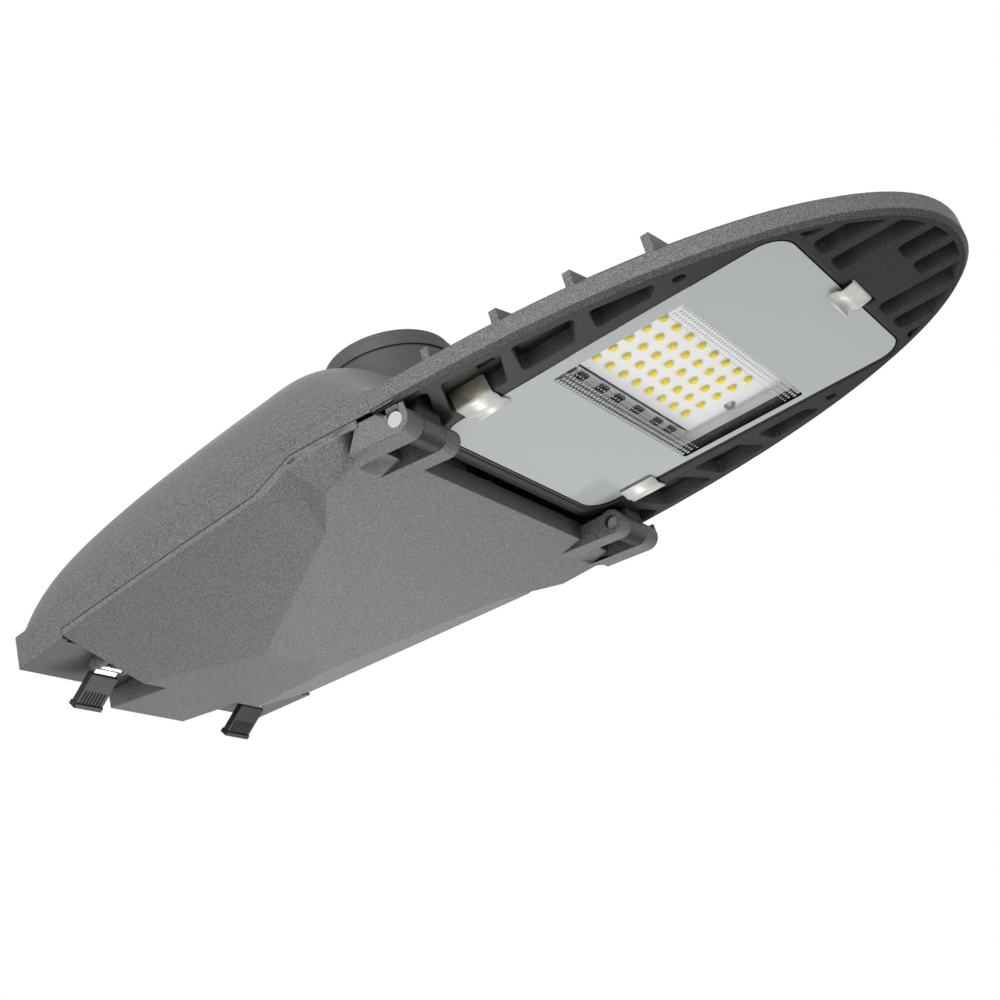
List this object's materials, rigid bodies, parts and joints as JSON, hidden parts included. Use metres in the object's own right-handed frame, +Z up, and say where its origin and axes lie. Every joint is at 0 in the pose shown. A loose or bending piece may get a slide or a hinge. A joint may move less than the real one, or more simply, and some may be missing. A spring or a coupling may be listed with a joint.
{
  "type": "street light head",
  "caption": "Street light head with a domed cast body, LED board behind flat glass, hinged driver cover and a clamp socket for a round pole end.",
  "frame": {"origin": "centre of the pole socket's mouth on the rear face", "axes": "+X from the pole socket to the tip, +Z up, Y across the lamp"},
  "size_m": [0.552, 0.2542, 0.1436],
  "materials": {
    "housing_paint": "fine powder coat",
    "cover_paint": "fine powder coat",
    "steel": "brushed",
    "dark_plastic": "matt",
    "light_plastic": "matt",
    "clear_glass": "flat with a printed grey border",
    "black_rubber": "matt",
    "white_board": "white solder mask",
    "yellow_phosphor": "clear over yellow",
    "bare_casting": "as cast",
    "sheet_steel": "zinc plated",
    "driver_case": "satin"
  },
  "bodies": {
    "housing": {"upper_housing": "housing_paint", "photocell_base": "dark_plastic", "photocell_cap": "dark_plastic", "glass_lens": "clear_glass", "glass_gasket": "black_rubber", "led_board": "white_board", "led_chips": "yellow_phosphor", "board_screws": "steel", "clip_screws": "steel", "spring_clip_near": "steel", "spring_clip_far": "steel", "spring_clip_front": "steel", "pole_clamp": "bare_casting", "clamp_bolts": "steel", "driver_tray": "sheet_steel", "tray_screws": "steel", "led_driver": "driver_case", "terminal_block": "light_plastic"},
    "cover": {"driver_cover": "cover_paint", "hinge_pin_near": "steel", "hinge_pin_far": "steel", "latch_pin_near": "steel", "latch_pin_far": "steel"},
    "latch_handle_near": {"latch_near": "steel", "latch_grip_near": "dark_plastic"},
    "latch_handle_far": {"latch_far": "steel", "latch_grip_far": "dark_plastic"}
  },
  "joints": [
    {"name": "cover_hinge", "type": "hinge", "parent": "housing", "child": "cover", "pos_m": [0.294, 0, -0.0375], "axis": [0, -1, 0], "range_deg": [0, 80]},
    {"name": "latch_hinge_near", "type": "hinge", "parent": "cover", "child": "latch_handle_near", "pos_m": [0.031, -0.063, -0.0405], "axis": [0, -1, 0], "range_deg": [0, 30]},
    {"name": "latch_hinge_far", "type": "hinge", "parent": "cover", "child": "latch_handle_far", "pos_m": [0.031, 0.063, -0.0405], "axis": [0, -1, 0], "range_deg": [0, 30]}
  ]
}
